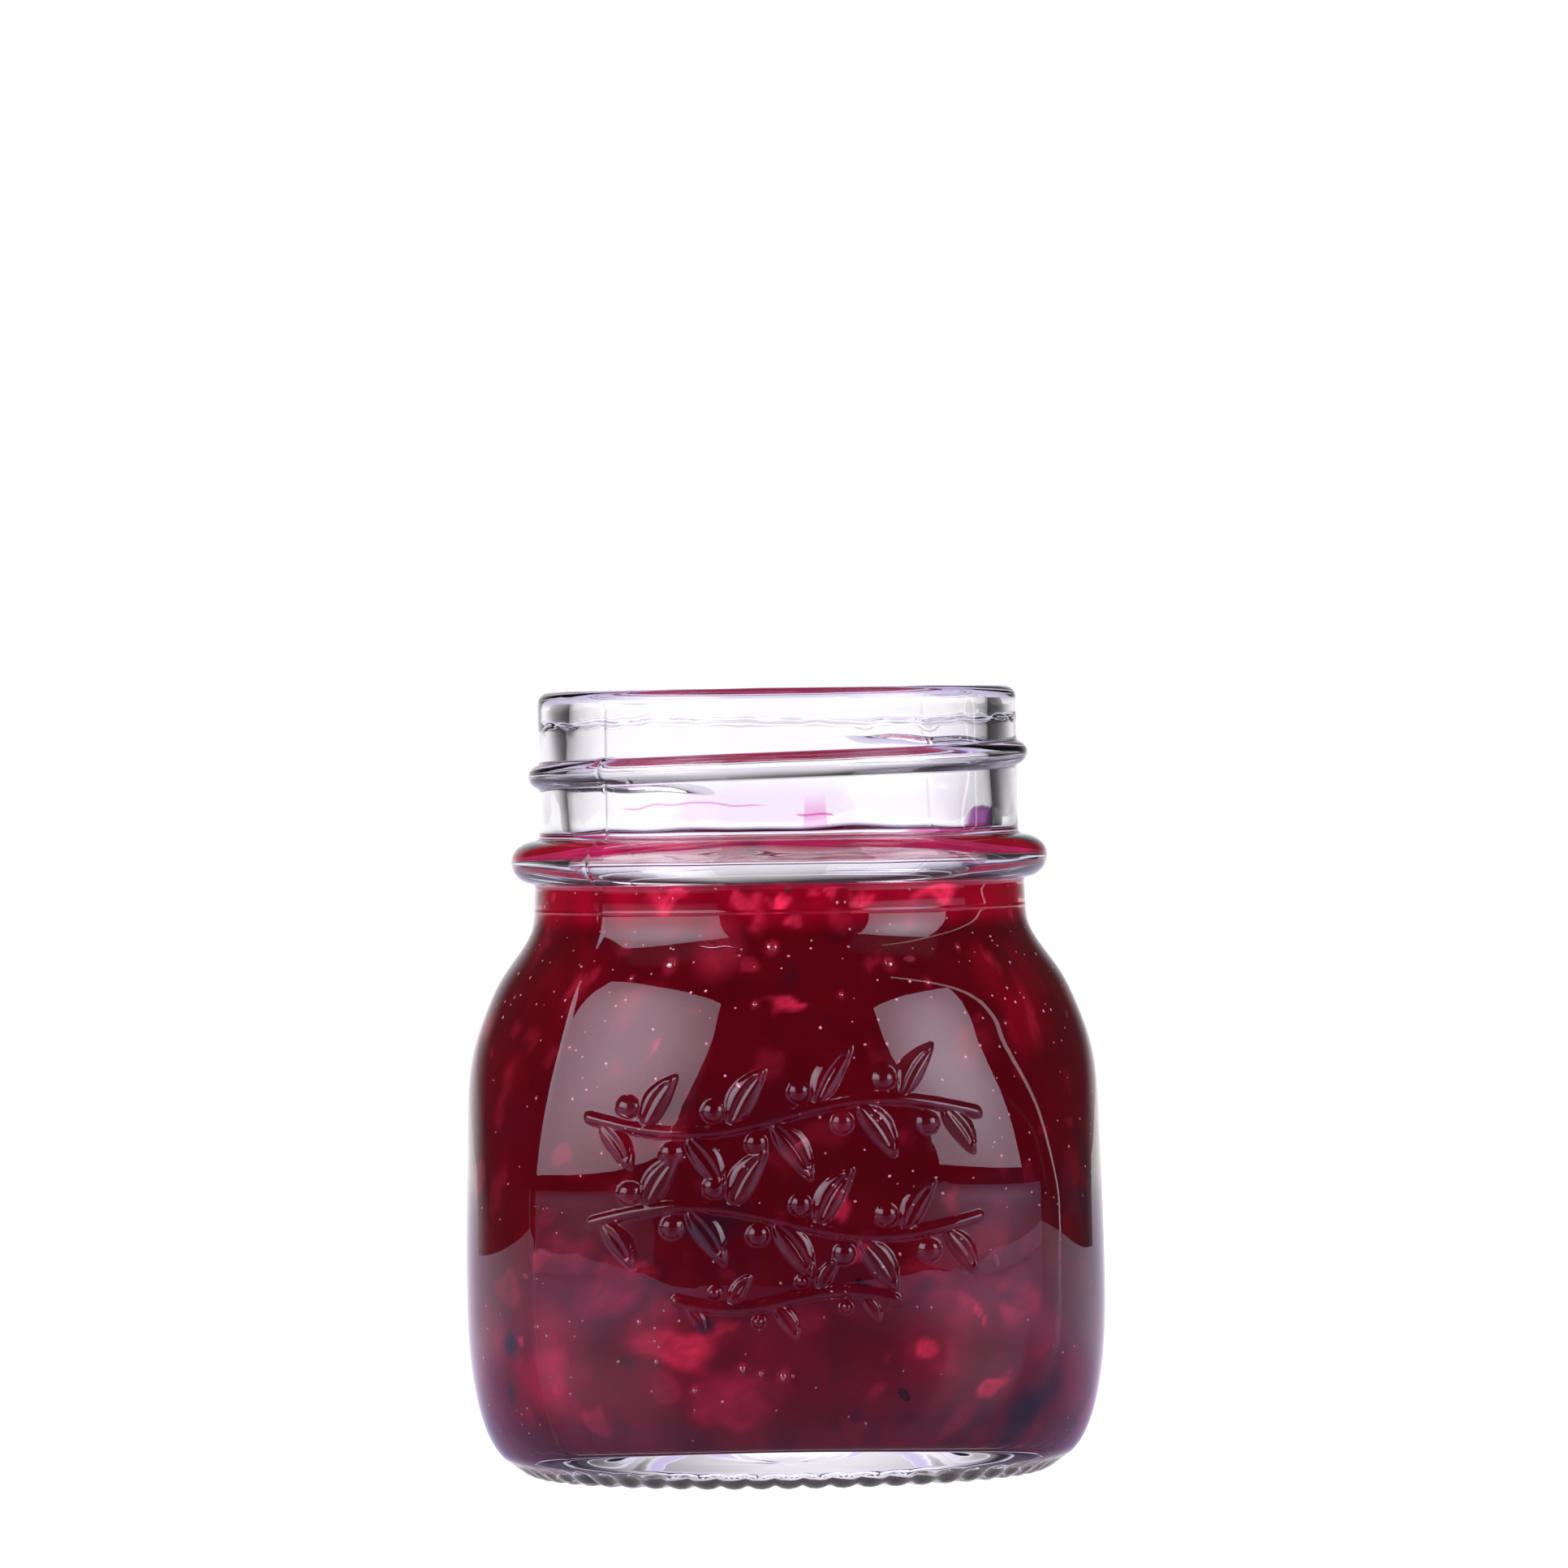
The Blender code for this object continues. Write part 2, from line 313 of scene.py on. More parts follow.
def glassPoints(s, phi, shapes=True):
    r, z, nr, nz = alongOutline(s)
    x = r * np.cos(phi)
    onOutside = s < arcLength[topIndex]
    lift = np.where(onOutside, wobble(phi, z, 3, jar["outerWobble"]), wobble(phi, z, 8, jar["innerWobble"]))
    lift = lift * smoothStep(s / 8) * smoothStep((z - 7) / 5)
    if shapes:
        ridge = threadRidge(phi, z) * (onOutside & (z > 66.5) & (z < 79.5))
        lift = lift + ridge + boreRipple(phi, z) * ~onOutside
        lift = lift + (footRibs(phi, s) + seamLine(phi, r, z, s)) * onOutside
    stretch = sectionStretch(phi, z)
    r = (r + nr * lift) * stretch
    return np.stack([r * np.cos(phi), r * np.sin(phi), z + nz * lift], -1)


def evenRows(start, stops):  # rows from one stop to the next, where a stop is (arc length, spacing, coarse)
    rows, s = [], start
    for end, spacing, coarse in stops:
        count = max(1, round((end - s) / spacing))
        rows += [(s + (end - s) * i / count, coarse, False) for i in range(count)]
        s = end
    return rows


def glassRows():  # (arc length, half as many columns, follows the thread)
    below = (
        (arcRing - 2.2, 3.0, True),
        (arcRing - 0.6, 0.55, True),
        (arcAtHeight(2.2), 0.33, False),
        (arcAtHeight(8), 0.8, False),
        (arcAtHeight(15), 1.1, False),
        (arcAtHeight(46), 0.75, False),
        (arcAtHeight(58.3), 0.85, False),
        (arcAtHeight(59.1), 0.09, False),
        (arcAtHeight(60.6), 0.7, False),
        (arcAtHeight(67), 0.4, False),
        (arcAtHeight(69.8), 0.9, False),
    )
    above = (
        (arcAtHeight(jar["height"] - 1.3), 0.9, False),
        (arcAtHeight(jar["height"] - 1.3, True), 0.32, False),
        (arcAtHeight(78.8, True), 0.9, False),
        (arcAtHeight(77.4, True), 0.14, False),
        (arcAtHeight(65, True), 1.0, False),
        (arcAtHeight(12, True), 1.9, True),
        (arcLength[-1] - 13, 0.7, True),
        (arcLength[-1] - 1.5, 1.2, True),
    )
    middle = arcAtHeight(thread["middle"])
    ridge = [(middle + t, False, True) for t in np.linspace(-1.75, 1.75, 27)]
    return evenRows(2.0, below) + ridge + evenRows(arcAtHeight(77.4), above)


def glassColumns():
    angles = [math.radians(d) for d in np.arange(0, 360, 1.5)]
    for seam in (jar["seamAzimuth"], jar["seamAzimuth"] - math.pi):
        angles += [seam + math.radians(d) for d in (-0.6, -0.3, 0.3, 0.6)]
    return np.array(sorted(angles))


def skinFaces(counts, fineIsFirst=None):  # faces between rows of vertices, and fans to the two end points
    starts = np.concatenate([[0], np.cumsum(counts)]).astype(int)
    faces = []
    for i in range(len(counts) - 1):
        a, b, n, m = starts[i], starts[i + 1], counts[i], counts[i + 1]
        if n == m:
            faces += [(a + j, a + (j + 1) % n, b + (j + 1) % n, b + j) for j in range(n)]
        elif n == 2 * m:
            for j in range(m):
                p, q, t = (a + (2 * j + k) % n for k in range(3))
                faces += [(p, q, b + j), (q, b + (j + 1) % m, b + j), (q, t, b + (j + 1) % m)]
        else:
            for j in range(n):
                p, q, t = (b + (2 * j + k) % m for k in range(3))
                faces += [(a + j, q, p), (a + j, a + (j + 1) % n, q), (a + (j + 1) % n, t, q)]
    first, last = starts[-1], starts[-1] + 1
    n = counts[0]
    faces += [(first, (j + 1) % n, j) for j in range(n)]
    a, n = starts[-2], counts[-1]
    faces += [(last, a + j, a + (j + 1) % n) for j in range(n)]
    return faces


def addObject(name, data):
    made = bpy.data.objects.new(name, data)
    bpy.context.scene.collection.objects.link(made)
    return made


def newMesh(name, points, faces):  # points are in millimetres
    mesh = bpy.data.meshes.new(name)
    mesh.from_pydata((np.array(points) * mm).tolist(), [], faces)
    return mesh


def storeValues(mesh, name, values):
    mesh.attributes.new(name, "FLOAT", "POINT").data.foreach_set("value", np.array(values, np.float32))


def faceOutwards(mesh):
    edit = bmesh.new()
    edit.from_mesh(mesh)
    bmesh.ops.recalc_face_normals(edit, faces=edit.faces[:])
    edit.to_mesh(mesh)
    edit.free()


def refinePanel(mesh):  # cuts the front finely where the ornament stands
    edit = bmesh.new()
    edit.from_mesh(mesh)
    arcLayer = edit.verts.layers.float["arc"]
    faces, middles = [], []
    for face in edit.faces:
        middle = face.calc_center_median() / mm
        if abs(middle.x) < 23.5 and middle.y < -20 and 15 < middle.z < 47:
            if face.verts[0][arcLayer] < arcLength[topIndex]:
                faces.append(face)
                middles.append((middle.x, middle.z))
    middles = np.array(middles)
    chosen = set()
    for face, near in zip(faces, ornamentHeight(middles[:, 0], middles[:, 1])[1]):
        if near:
            chosen.update(face.edges)
    bmesh.ops.subdivide_edges(edit, edges=list(chosen), cuts=4, use_grid_fill=True)
    edit.to_mesh(mesh)
    edit.free()


def makeGlass():
    columns = glassColumns()
    rows = glassRows()
    arcs, turns, counts = [], [], []
    for s, coarse, follows in rows:
        phi = columns[::2] if coarse else columns
        shift = threadCrest(phi) - thread["middle"] if follows else 0
        arcs.append(s + shift + 0 * phi)
        turns.append(phi)
        counts.append(len(phi))
    s = np.concatenate([*arcs, [0, arcLength[-1]]])
    phi = np.concatenate([*turns, [0, 0]])
    mesh = newMesh("jarGlass", glassPoints(s, phi), skinFaces(counts))
    storeValues(mesh, "arc", s)
    refinePanel(mesh)
    count = len(mesh.vertices)
    place, s = np.empty(count * 3, np.float32), np.empty(count, np.float32)
    mesh.vertices.foreach_get("co", place)
    mesh.attributes["arc"].data.foreach_get("value", s)
    place = place.reshape(-1, 3).astype(float) / mm
    s = s.astype(float)
    inPanel = (np.abs(place[:, 0]) < 24) & (place[:, 1] < -20) & (place[:, 2] > 12) & (place[:, 2] < 49)
    inPanel &= s < arcLength[topIndex]
    phi = np.arctan2(place[inPanel, 1], place[inPanel, 0])
    smooth = glassPoints(s[inPanel], phi)
    outward = smooth / np.linalg.norm(smooth[:, :2], axis=1)[:, None] * [1, 1, 0]
    place[inPanel] = smooth + outward * ornamentHeight(smooth[:, 0], smooth[:, 2])[0][:, None]
    mesh.vertices.foreach_set("co", (place * mm).astype(np.float32).ravel())
    mesh.update()
    mesh.shade_smooth()
    return addObject("jarGlass", mesh)


def setInputs(tree, node, inputs):  # each is a value, or the output of another node
    for key, value in inputs.items():
        if isinstance(value, bpy.types.NodeSocket):
            tree.links.new(value, node.inputs[key])
        else:
            node.inputs[key].default_value = value


def addNode(tree, kind, inputs, **settings):
    node = tree.nodes.new(kind)
    for name, value in settings.items():
        setattr(node, name, value)
    setInputs(tree, node, inputs)
    return node


def calculate(tree, operation, a, b=0.0, c=0.0):
    return addNode(tree, "ShaderNodeMath", {0: a, 1: b, 2: c}, operation=operation).outputs[0]


def spread(tree, value, start, end, low, high, interpolation="SMOOTHSTEP"):
    limits = {"Value": value, "From Min": start, "From Max": end, "To Min": low, "To Max": high}
    return addNode(tree, "ShaderNodeMapRange", limits, interpolation_type=interpolation).outputs["Result"]


def mixed(tree, kind, factor, a, b):  # kind is RGBA or FLOAT
    first = 6 if kind == "RGBA" else 2
    mix = addNode(tree, "ShaderNodeMix", {0: factor, first: a, first + 1: b}, data_type=kind)
    return mix.outputs[first // 3]


def newMaterial(name):  # a material, its node tree and its shader
    material = bpy.data.materials.new(name)
    material.use_nodes = True
    return material, material.node_tree, material.node_tree.nodes["Principled BSDF"]


def showMix(tree, factor, first, second):  # the surface shows a mix of two shaders
    shaders = {0: factor, 1: first.outputs["BSDF"], 2: second.outputs["BSDF"]}
    mix = addNode(tree, "ShaderNodeMixShader", shaders)
    setInputs(tree, tree.nodes["Material Output"], {"Surface": mix.outputs["Shader"]})


def makeGlassMaterial():
    material, tree, glass = newMaterial("clearGlass")
    finish = {"Base Color": (0.985, 0.985, 0.99, 1), "Roughness": 0.0, "IOR": 1.5, "Transmission Weight": 1.0}
    setInputs(tree, glass, finish)
    clear = addNode(tree, "ShaderNodeBsdfTransparent", {"Color": (0.93, 0.95, 0.94, 1)})
    showMix(tree, addNode(tree, "ShaderNodeLightPath", {}).outputs["Is Shadow Ray"], glass, clear)
    return material


glassPiece = makeGlass()
glassPiece.data.materials.append(makeGlassMaterial())
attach(glassPiece, "root")
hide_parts("jar_glass")
print("glass made:", sum(len(p.vertices) - 2 for p in glassPiece.data.polygons), "triangles")


# The jam reaches a little way into the wall, so that no air shows between them
jam = {
    "level": 63.0,
    "intoWall": 0.12,
    "columns": 440,
    "spacing": 0.45,
    "gel": (0.088, 0.0, 0.0038),
    "topGel": (0.13, 0.003, 0.022),
    "fleshAndPaintedHalo": (0.36, 0.014, 0.038),
    "skin": (0.014, 0.004, 0.012),  # of the dark berries, and of the painted shade
    "grainSize": 900,
    "grazingIor": 0.92,
}
# Pieces of fruit at the wall that a viewer meets first, as angle from the front, height, length and width
# in millimetres, tilt, and how pale each is. A negative paleness is a dark berry.
frontFruit = (
    (25.8, 14.3, 2.8, 1.7, 5, 1.0), (28, 13.7, 5, 3.4, -20, 0.45), (33, 19.3, 2.6, 0.9, -40, 0.7),
    (36, 17.7, 2.7, 0.9, -64, 0.8), (44.5, 19, 5.5, 4.6, 70, 0.62), (28, 17.9, 6, 4, 10, 0.4),
    (39, 10.2, 3.4, 1.3, 18, 0.9), (41.8, 11.2, 1.7, 0.9, 60, 0.75), (48.5, 8.2, 7.5, 6.4, 50, -1.0),
    (32.5, 6.9, 5, 1.9, 40, 0.55), (16.5, 10.2, 2.4, 1.2, 60, 0.4), (51, 13.9, 3.5, 1.6, 15, 0.5),
    (55, 12, 10, 5, 60, -0.45), (-21.5, 15.0, 8, 4.8, -16, 0.8), (-24, 17.8, 4.5, 3.2, 80, 0.5),
    (-56, 20.3, 3.6, 3.2, 0, 0.6), (-47, 23.7, 2.4, 1.3, 30, 0.65), (-27, 22.9, 3, 1.4, -25, 0.85),
    (-38, 7.8, 3.4, 2.6, -20, 0.6), (-10.5, 9, 7.6, 4.8, 10, 0.55), (-30, 13.4, 1.7, 1.3, 0, -0.6),
    # the pale piece at -53.4 degrees and 15.2 mm is a painted highlight on the dark berry beside it
    (-56, 15, 2.7, 2.3, 0, -1.0), (-53.4, 15.2, 0.8, 1.5, 85, 1.0), (-58, 10.2, 1.6, 2.4, 0, -0.7),
    (-15, 17.2, 1.6, 1.4, 0, -0.85), (-11.5, 16.8, 2.8, 1.0, 15, 0.75), (0.7, 48.7, 3.7, 1.1, -12, 0.95),
    (-7.4, 52.4, 2.2, 1.4, 0, 0.6), (-33, 48.9, 5, 2.2, 30, 0.4), (-3, 43, 2.6, 2.6, 0, 0.4),
    (40.5, 44.2, 5, 3.4, 25, 0.42), (13.5, 24.2, 3, 1.2, 20, 0.8), (3, 17.5, 4.4, 2.8, 0, 0.45),
    (-13, 26.7, 5.5, 3.6, 10, -0.7), (10.7, 28.6, 2.7, 1.6, 80, 0.85), (31, 28.9, 2.8, 1.5, 80, 0.7),
    (-25.5, 44.4, 3.2, 1.0, 50, 0.8), (-43, 34, 2.4, 1.6, 45, 0.7), (44, 60.4, 7, 2.4, 0, 0.8),
    (20, 59.5, 3, 1.6, 20, 0.7), (-30, 60, 5, 2, 0, 0.5), (-9, 59.6, 4, 1.6, 10, 0.6),
    (3, 57.5, 2.4, 1.5, 0, 0.6), (60, 46, 6, 3, 70, 0.35), (-62, 40, 5, 2.5, 80, 0.3),
    (-50, 50, 3, 2, 20, 0.4), (22, 52.5, 2.4, 1.4, 30, 0.5), (-60, 30, 5, 2.4, 70, 0.35),
    (60, 31, 5, 3, 80, 0.3), (8, 36.5, 5, 2.6, 20, 0.3), (-20, 37, 6, 2.8, 40, 0.35),
    (24, 8, 6, 4, -15, -0.4), (-33, 21, 7, 4.5, 20, 0.6), (-41, 24.5, 5, 3, -30, 0.55),
    (38, 25.5, 5, 3.2, 50, 0.5), (26, 21.5, 5, 3, -10, 0.4), (0, 59.8, 2.8, 1.3, 5, 0.8),
    (-26, 61, 3, 1.4, -10, 0.7), (13, 61, 2.6, 1.3, 0, 0.6), (-45, 12, 6, 3.6, 60, 0.5),
)  # fmt: skip

# The larger bubbles in front and a chilled streak: angle, height, half length and half width
heroBubbles = (
    (-26.5, 52.4, 0.62, 0.62), (-2.1, 54.3, 0.6, 0.6), (26, 52.2, 0.55, 0.55), (-35.5, 51, 0.28, 0.28),
    (-5.6, 48.8, 0.3, 0.3), (-8.5, 12.7, 0.42, 0.42), (-5, 12.2, 0.32, 0.32), (-0.8, 11.9, 0.45, 0.45),
    (-17.5, 10.6, 0.3, 0.3), (-15, 54.4, 2.1, 0.2), (34, 50.3, 0.34, 0.3), (13, 49.5, 0.26, 0.26),
    (-46, 44.5, 0.25, 0.25), (18, 40.2, 0.24, 0.24), (47, 53.5, 0.3, 0.3),
)  # fmt: skip


# Broad patches of painted light and painted shade, where more or less light comes through the jam: angle,
# height, half width, half height, amount
paintedLightAndShade = (
    (58, 48, 16, 7, 1.0), (-52, 51, 14, 6, 0.3), (-32, 60, 18, 5, 1.0), (0, 60.5, 10, 3, 0.4),
    (38, 60, 16, 4, 0.8), (66, 28, 13, 8, -0.6), (-64, 29, 8, 5, -0.2), (-30, 36, 14, 8, 0.35),
    (30, 38, 10, 9, -0.12), (12, 17, 14, 6, -0.2), (-22, 12, 18, 8, 0.5), (-48, 14, 14, 10, 0.7),
    (-33, 22, 13, 6, 0.4), (58, 21, 9, 7, -0.35), (36, 17, 12, 9, 0.3), (-60, 42, 8, 8, 0.25),
)  # fmt: skip


def fieldNoise(u, v, seed, size):  # smooth noise between about -1 and 1
    draw = random.Random(seed)
    total = 0
    for i in range(14):
        angle, phase = draw.uniform(0, 6.28), draw.uniform(0, 6.28)
        pitch = size * draw.uniform(0.6, 1.6)
        total = total + np.sin((u * math.cos(angle) + v * math.sin(angle)) * 6.28 / pitch + phase)
    return total / 3.2


def jamTop(phi, share):  # it clings to the wall, and sinks a little to the middle
    x, y = jar["boreRadius"] * share * np.cos(phi), jar["boreRadius"] * share * np.sin(phi)
    lumps = 0.3 * fieldNoise(x, y, 31, 20) + 0.07 * fieldNoise(x, y, 32, 5)
    return jam["level"] + lumps * (1 - share**6) - 0.25 * (1 - share**2) + 0.3 * share**8


def fruitPieces():  # the pieces in front, and more of them all the way round, denser near the ground
    draw = random.Random(12)
    pieces = [(math.radians(a), *rest) for a, *rest in frontFruit]
    for i in range(330):
        height = 3 + 58 * draw.random() ** 1.6
        inFront = i < 150
        angle = draw.uniform(-1.2, 1.2) if inFront else draw.uniform(1.2, 2 * math.pi - 1.2)
        length = draw.uniform(0.9, 3.4) if inFront or i < 240 else draw.uniform(3, 9) * (1.15 - height / 90)
        pale = draw.choice((0.15, 0.2, 0.3, 0.4, -0.35) if inFront else (0.3, 0.4, 0.5, 0.7, -0.8))
        pieces.append((angle, height, length, length * draw.uniform(0.35, 0.8), draw.uniform(0, 180), pale))
    return pieces


def jamLook(place):  # how much flesh, dark skin and glow there is at each point of the surface. The flesh amount also holds painted halos of light round bubbles, the dark amount also holds painted shade, and the glow holds painted light
    x, y, z = place.T
    turn = turnFrom(np.arctan2(y, x), frontAzimuth)
    reach = 31.0
    fleshAndPaintedHalo, dark, light = np.zeros(len(z)), np.zeros(len(z)), np.zeros(len(z))
    for angle, height, length, width, tilt, pale in fruitPieces():
        u = turnFrom(turn, angle) * reach
        v = z - height
        near = (np.abs(u) < length) & (np.abs(v) < length)
        u, v = u[near], v[near]
        seed = int(abs(height * 37 + length * 11))
        bent = [0.1 * length * fieldNoise(u, v, seed + i, length) for i in (0, 1)]
        u, v = u + bent[0], v + bent[1]
        a = math.radians(tilt)
        along, across = u * math.cos(a) + v * math.sin(a), v * math.cos(a) - u * math.sin(a)
        t = np.hypot(along / (length / 2), across / (width / 2))
        soft = 1.3 if pale < 0.6 else 0.85
        amount = smoothStep((1 + soft / 2 - t) / soft)
        grain = 0.85 + 0.14 * fieldNoise(along * 0.5, across, seed + 2, 1.1) - 0.25 * smoothStep(1 - t)
        if pale < 0:
            dark[near] = np.maximum(dark[near], -pale * amount)
            fleshAndPaintedHalo[near] *= 1 - 0.8 * amount
        else:
            fleshAndPaintedHalo[near] = np.maximum(fleshAndPaintedHalo[near], pale * amount * grain)
            # painted light: pieces paler than 0.7 are brighter than their flesh colour
            light[near] = np.maximum(light[near], max(0, pale - 0.7) * 3.2 * amount)
    for angle, height, size, _ in heroBubbles:  # painted light: a brighter halo round each bubble, where the bubble lights the jam round it
        away = np.hypot(turn - math.radians(angle), (z - height) / reach) * reach
        fleshAndPaintedHalo = np.maximum(fleshAndPaintedHalo, 0.6 * smoothStep((size * 2.2 - away) / (size * 1.6)))
    u = turn * reach
    cloud = smoothStep(0.5 + 0.6 * fieldNoise(u, z, 5, 11)) * smoothStep((34 - z) / 22)
    fleshAndPaintedHalo = np.maximum(fleshAndPaintedHalo, 0.16 * cloud)
    dark = np.maximum(dark, 0.3 * smoothStep(fieldNoise(u, z, 6, 15) - 0.45) * smoothStep((45 - z) / 15))
    # a positive amount adds painted light to the glow, and a negative one adds painted shade to the dark
    # amount
    for angle, height, halfWidth, halfHeight, amount in paintedLightAndShade:
        away = np.hypot((turn - math.radians(angle)) / math.radians(halfWidth), (z - height) / halfHeight)
        spot = abs(amount) * smoothStep(1 - away + 0.25 * fieldNoise(u, z, int(height * 7), 6))
        if amount > 0:
            light = light + spot
        else:
            dark = np.maximum(dark, spot)
    # darker towards the bottom
    dark = np.maximum(dark, 0.3 * smoothStep((8 - z) / 3.5))
    glow = smoothStep((z - 55.5) / 3.5) * (1.95 + 0.45 * fieldNoise(u, z, 7, 9))  # painted light: the jam is brighter near its top, where light comes in from above
    # the colour is also brighter towards the bottom
    glow = glow + 0.25 * smoothStep((26 - z) / 20)
    return np.clip(fleshAndPaintedHalo, 0, 1), np.clip(dark, 0, 1), np.clip(glow + light, 0, 3)


def makeJam():
    start = arcAtHeight(jam["level"] - 0.4, True)
    end = arcLength[-1]
    rowArcs = np.linspace(end - 1.5, start, int((end - start) / jam["spacing"]))
    rowArcs = np.concatenate([rowArcs[rowArcs > end - 24][::2], rowArcs[rowArcs <= end - 24]])
    phi = np.arange(jam["columns"]) * 2 * math.pi / jam["columns"]
    points, counts = [], []
    for s in rowArcs:
        p = glassPoints(s + 0 * phi, phi)
        r, z, nr, nz = alongOutline(s + 0 * phi)
        stretch = sectionStretch(phi, z)
        p[:, 0] -= nr * jam["intoWall"] * np.cos(phi) * stretch
        p[:, 1] -= nr * jam["intoWall"] * np.sin(phi) * stretch
        p[:, 2] -= nz * jam["intoWall"]
        points.append(p)
        counts.append(len(phi))
    top = sum(counts) - jam["columns"]  # the first vertex of the highest row on the wall
    reach = jar["boreRadius"] + jam["intoWall"]
    for share in np.linspace(1, 0.04, 34):
        radius = reach * share
        points.append(np.stack([radius * np.cos(phi), radius * np.sin(phi), jamTop(phi, share)], 1))
        counts.append(len(phi))
    floor = [0, 0, jar["inside"][0][1] - jam["intoWall"]]
    points += [[floor], [[0, 0, float(jamTop(0, 0.0))]]]  # the middles of the floor and of the top
    place = np.concatenate(points)
    mesh = newMesh("jam", place, skinFaces(counts))
    for name, values in zip(("fleshAndPaintedHalo", "dark", "glow"), jamLook(place)):
        storeValues(mesh, name, values)
    faceOutwards(mesh)
    mesh.shade_smooth()
    floorPoint = len(place) - 2
    for polygon in mesh.polygons:
        polygon.material_index = int(min(polygon.vertices) >= top and floorPoint not in polygon.vertices)
    return addObject("berryJam", mesh)


def newGroup(name, kind, inputs, output):  # inputs and output are named pairs of a socket and its type
    group = bpy.data.node_groups.new(name, kind)
    for socket, socketType in inputs:
        group.interface.new_socket(socket, in_out="INPUT", socket_type="NodeSocket" + socketType)
    group.interface.new_socket(output[0], in_out="OUTPUT", socket_type="NodeSocket" + output[1])
    return group, group.nodes.new("NodeGroupInput").outputs


def jamColorGroup():  # gel, flesh and skin mixed by the mesh's own attributes, with fine grain. The skin colour also paints shade, and the glow attribute brightens the colour as painted light
    inputs = (("Gel", "Color"), ("Flesh", "Color"), ("Skin", "Color"), ("Grain Size", "Float"))
    group, source = newGroup("jamColor", "ShaderNodeTree", inputs, ("Color", "Color"))
    fleshAndPaintedHalo, glow, dark = (
        addNode(group, "ShaderNodeAttribute", {}, attribute_name=name).outputs["Fac"]
        for name in ("fleshAndPaintedHalo", "glow", "dark")
    )
    place = addNode(group, "ShaderNodeTexCoord", {}).outputs["Object"]
    noise = {"Vector": place, "Scale": source["Grain Size"], "Detail": 3, "Distortion": 0.6}
    grain = addNode(group, "ShaderNodeTexNoise", noise).outputs["Fac"]
    slow = addNode(group, "ShaderNodeTexNoise", {"Vector": place, "Scale": 150, "Detail": 2}).outputs["Fac"]
    fine = calculate(group, "MULTIPLY_ADD", grain, 0.9, 0.55)
    broad = calculate(group, "MULTIPLY_ADD", slow, 0.7, 0.65)
    uneven = calculate(group, "MULTIPLY", fleshAndPaintedHalo, calculate(group, "MULTIPLY", fine, broad))
    color = mixed(group, "RGBA", uneven, source["Gel"], source["Flesh"])
    # painted light: the glow attribute brightens the colour
    lit = calculate(group, "MULTIPLY", calculate(group, "MULTIPLY_ADD", glow, 1.2, 1), broad)
    scaled = addNode(group, "ShaderNodeVectorMath", {0: color, "Scale": lit}, operation="SCALE").outputs[0]
    addNode(group, "NodeGroupOutput", {"Color": mixed(group, "RGBA", dark, scaled, source["Skin"])})
    return group


jamColors = jamColorGroup()


def makeJamMaterial(name, gel, specular, roughness):
    material, tree, shader = newMaterial(name)
    colors = {"Gel": (*gel, 1), "Flesh": (*jam["fleshAndPaintedHalo"], 1), "Skin": (*jam["skin"], 1)}
    look = addNode(tree, "ShaderNodeGroup", colors | {"Grain Size": jam["grainSize"]}, node_tree=jamColors)
    finish = {"Base Color": look.outputs["Color"], "Roughness": roughness, "Specular IOR Level": specular}
    setInputs(tree, shader, finish)
    if specular == 0:  # under glass, jam mirrors only what grazes it
        grazing = addNode(tree, "ShaderNodeFresnel", {"IOR": jam["grazingIor"]}).outputs[0]
        mirror = addNode(tree, "ShaderNodeBsdfGlossy", {"Color": white, "Roughness": 0.0})
        showMix(tree, grazing, shader, mirror)
    return material


jamPiece = makeJam()
jamPiece.data.materials.append(makeJamMaterial("jamAtTheWall", jam["gel"], 0.0, 0.6))
jamPiece.data.materials.append(makeJamMaterial("jamOnTop", jam["topGel"], 1.0, 0.05))
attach(jamPiece, "root")
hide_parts("jam")
print("jam made:", sum(len(p.vertices) - 2 for p in jamPiece.data.polygons), "triangles")

# Small things in the jam at the wall. Each kind is scattered over a thin copy of the jam's surface.
# A row is name, things per square metre, radius, its spread, length against width, lowest, highest, seed.
smallThings = (
    # the specks stand for tiny air bubbles, and their pale pink is a painted glint
    ("specks", 52000, 0.1, 0.06, 1.2, 28, 62, 3),
    ("shoulderSpecks", 50000, 0.1, 0.08, 1.2, 47, 56, 5),
    ("lowSpecks", 26000, 0.09, 0.06, 1.3, 5, 30, 4),
    ("bubbles", 3400, 0.2, 0.16, 1.0, 8, 61, 6),
    ("seeds", 500, 0.34, 0.1, 1.7, 4, 61, 9),
    ("skins", 900, 0.3, 0.4, 1.9, 4, 50, 14),
)
roundFrom = 0.2  # things of this radius and more have more faces


def wallPatch():  # the jam's side as a mesh of its own, to scatter over
    columns, rows, lift = 120, 60, 0.17
    phi = np.arange(columns) * 2 * math.pi / columns
    low, high = arcAtHeight(5.3, True), arcAtHeight(jam["level"] - 1.2, True)
    place = np.concatenate([glassPoints(s + 0 * phi, phi) for s in np.linspace(low, high, rows)])
    place[:, :2] *= 1 + lift / np.linalg.norm(place[:, :2], axis=1)[:, None]
    faces = []
    for a in range(0, columns * (rows - 1), columns):
        for j in range(columns):
            beside = (j + 1) % columns
            faces.append((a + j, a + beside, a + columns + beside, a + columns + j))
    return addObject("wallPatch", newMesh("wallPatch", place, faces))


